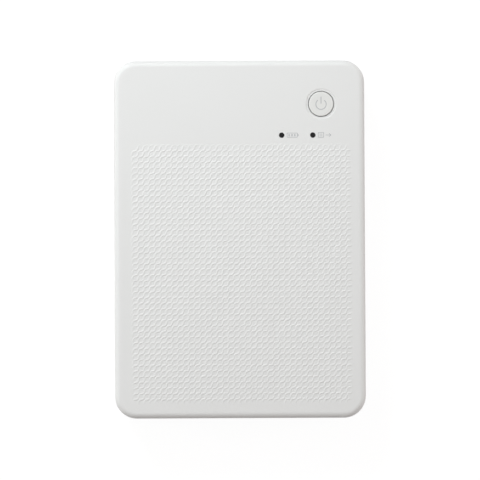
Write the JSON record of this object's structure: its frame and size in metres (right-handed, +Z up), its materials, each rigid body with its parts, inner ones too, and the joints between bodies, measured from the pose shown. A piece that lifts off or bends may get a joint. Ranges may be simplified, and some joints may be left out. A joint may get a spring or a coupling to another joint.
{
  "type": "compact photo printer",
  "caption": "Pocket dye-sublimation photo printer: soft-edged white case with a hinged textured lid, round power button, side ribbon door, paper well, ribbon cassette and geared roller drive.",
  "frame": {"origin": "centre of the flat plane under the four rubber feet", "axes": "X across the printer, Y from the paper exit at the front to the lid hinge at the back, Z up"},
  "size_m": [0.1022, 0.1458, 0.0326],
  "materials": {
    "housing_white": "fine spark-eroded texture",
    "button_white": "smooth satin",
    "dark_plastic": "satin",
    "grey_plastic": "satin",
    "ribbon_case": "satin",
    "nylon_gear": "satin",
    "sheet_steel": "zinc plated",
    "shaft_steel": "ground",
    "screw_steel": "black zinc",
    "spring_steel": "drawn wire",
    "aluminium": "extruded",
    "brass": "turned",
    "head_ceramic": "glazed",
    "roller_rubber": "ground",
    "foot_rubber": "moulded",
    "paper": "coated paper",
    "ribbon": "thin film",
    "circuit_board": "solder mask",
    "chip_black": "moulded",
    "flex_film": "polyimide film",
    "battery_wrap": "shrink film",
    "lamp_dark": "polished",
    "led_white": "clear cap"
  },
  "bodies": {
    "base": {"base_shell": "housing_white", "rubber_feet": "foot_rubber", "chassis": "sheet_steel", "chassis_screws": "screw_steel", "shaft_bushings": "brass", "gear_studs": "shaft_steel", "mechanism_cover": "dark_plastic", "exit_guide": "dark_plastic", "paper_well": "grey_plastic", "lid_catches": "sheet_steel", "paper_stack": "paper", "ribbon_cassette": "ribbon_case", "ribbon_film": "ribbon", "drive_motor": "shaft_steel", "main_board": "circuit_board", "board_chips": "chip_black", "case_screws": "screw_steel", "charging_port": "shaft_steel", "battery_pack": "battery_wrap", "hinge_pins": "shaft_steel", "door_pins": "shaft_steel", "head_flex": "flex_film", "lever_pins": "shaft_steel", "head_springs": "spring_steel"},
    "lid": {"lid_shell": "housing_white", "lid_liner": "grey_plastic", "liner_screws": "screw_steel", "button_board": "circuit_board", "tact_switch": "chip_black", "lamp_leds": "led_white", "lamp_windows": "lamp_dark", "button_flex": "flex_film", "pressure_springs": "spring_steel"},
    "power_button": {"power_button": "button_white"},
    "release_slider": {"release_slider": "grey_plastic"},
    "pressure_plate": {"pressure_plate": "ribbon_case"},
    "side_door": {"side_door": "housing_white"},
    "print_head": {"head_lever": "sheet_steel", "heat_sink": "aluminium", "print_head": "head_ceramic"},
    "platen": {"platen_shaft": "shaft_steel", "platen_roller": "roller_rubber", "platen_gear": "nylon_gear"},
    "capstan": {"capstan": "shaft_steel", "capstan_gear": "nylon_gear"},
    "pinch_roller": {"pinch_roller": "shaft_steel", "pinch_sleeve": "roller_rubber"},
    "pickup": {"pickup_shaft": "shaft_steel", "pickup_roller": "roller_rubber", "pickup_gear": "nylon_gear"},
    "motor_pinion": {"motor_pinion": "brass"},
    "pickup_idler": {"pickup_idler": "nylon_gear"},
    "feed_idler": {"feed_idler": "nylon_gear"},
    "platen_idler": {"platen_idler": "nylon_gear"},
    "ribbon_idler": {"ribbon_idler": "nylon_gear"},
    "supply_spool": {"supply_spool": "ribbon_case", "supply_ribbon": "ribbon"},
    "takeup_spool": {"takeup_spool": "ribbon_case", "takeup_ribbon": "ribbon", "takeup_gear": "nylon_gear"}
  },
  "joints": [
    {"name": "lid_hinge", "type": "hinge", "parent": "base", "child": "lid", "pos_m": [0, 0.0699, 0.023], "axis": [-1, 0, 0], "range_deg": [0, 70]},
    {"name": "button_press", "type": "slide", "parent": "lid", "child": "power_button", "axis": [0, 0, -1], "range_m": [0, 0.0005], "stiffness_N_per_m": 600, "springref_m": -0.0008},
    {"name": "latch_slide", "type": "slide", "parent": "lid", "child": "release_slider", "axis": [1, 0, 0], "range_m": [0, 0.003]},
    {"name": "plate_lift", "type": "slide", "parent": "lid", "child": "pressure_plate", "axis": [0, 0, 1], "range_m": [0, 0.002], "stiffness_N_per_m": 250, "springref_m": -0.003, "deforming": ["pressure_springs"]},
    {"name": "door_hinge", "type": "hinge", "parent": "base", "child": "side_door", "pos_m": [0.0496, -0.0246, 0.011], "axis": [0, 0, 1], "range_deg": [0, 90]},
    {"name": "head_tilt", "type": "hinge", "parent": "base", "child": "print_head", "pos_m": [0, -0.0615, 0.02], "axis": [-1, 0, 0], "range_deg": [0, 3], "stiffness_Nm_per_rad": 1.2, "springref_deg": -6.88, "deforming": ["head_springs"]},
    {"name": "platen_spin", "type": "hinge", "parent": "base", "child": "platen", "pos_m": [0, -0.045, 0.0237], "axis": [1, 0, 0], "continuous": true},
    {"name": "capstan_spin", "type": "hinge", "parent": "base", "child": "capstan", "pos_m": [0, -0.0237, 0.0158], "axis": [1, 0, 0], "continuous": true},
    {"name": "pinch_spin", "type": "hinge", "parent": "base", "child": "pinch_roller", "pos_m": [0, -0.0237, 0.0217], "axis": [1, 0, 0], "continuous": true},
    {"name": "pickup_spin", "type": "hinge", "parent": "base", "child": "pickup", "pos_m": [0, -0.0098, 0.0108], "axis": [1, 0, 0], "continuous": true},
    {"name": "pinion_spin", "type": "hinge", "parent": "base", "child": "motor_pinion", "pos_m": [0, -0.00089, 0.00955], "axis": [1, 0, 0], "continuous": true},
    {"name": "pickup_idler_spin", "type": "hinge", "parent": "base", "child": "pickup_idler", "pos_m": [0, -0.01929, 0.01036], "axis": [1, 0, 0], "continuous": true},
    {"name": "feed_idler_spin", "type": "hinge", "parent": "base", "child": "feed_idler", "pos_m": [0, -0.0302, 0.01955], "axis": [1, 0, 0], "continuous": true},
    {"name": "platen_idler_spin", "type": "hinge", "parent": "base", "child": "platen_idler", "pos_m": [0, -0.036, 0.02346], "axis": [1, 0, 0], "continuous": true},
    {"name": "ribbon_idler_spin", "type": "hinge", "parent": "base", "child": "ribbon_idler", "pos_m": [0, -0.05237, 0.01854], "axis": [1, 0, 0], "continuous": true},
    {"name": "takeup_spin", "type": "hinge", "parent": "base", "child": "takeup_spool", "pos_m": [0, -0.0563, 0.011], "axis": [1, 0, 0], "continuous": true},
    {"name": "supply_spin", "type": "hinge", "parent": "base", "child": "supply_spool", "pos_m": [0, -0.0337, 0.011], "axis": [1, 0, 0], "continuous": true}
  ],
  "couplings": [
    {"joint": "platen_idler_spin", "follows": "platen_spin", "ratio": -1.5714},
    {"joint": "feed_idler_spin", "follows": "platen_spin", "ratio": 1.5714},
    {"joint": "capstan_spin", "follows": "platen_spin", "ratio": -1.375},
    {"joint": "pickup_idler_spin", "follows": "platen_spin", "ratio": 1.8333},
    {"joint": "pickup_spin", "follows": "platen_spin", "ratio": -0.84615},
    {"joint": "pinion_spin", "follows": "platen_spin", "ratio": 2.2},
    {"joint": "ribbon_idler_spin", "follows": "platen_spin", "ratio": -1.5714},
    {"joint": "takeup_spin", "follows": "platen_spin", "ratio": 1.1},
    {"joint": "supply_spin", "follows": "platen_spin", "ratio": 1.1},
    {"joint": "pinch_spin", "follows": "platen_spin", "ratio": 1.65}
  ]
}
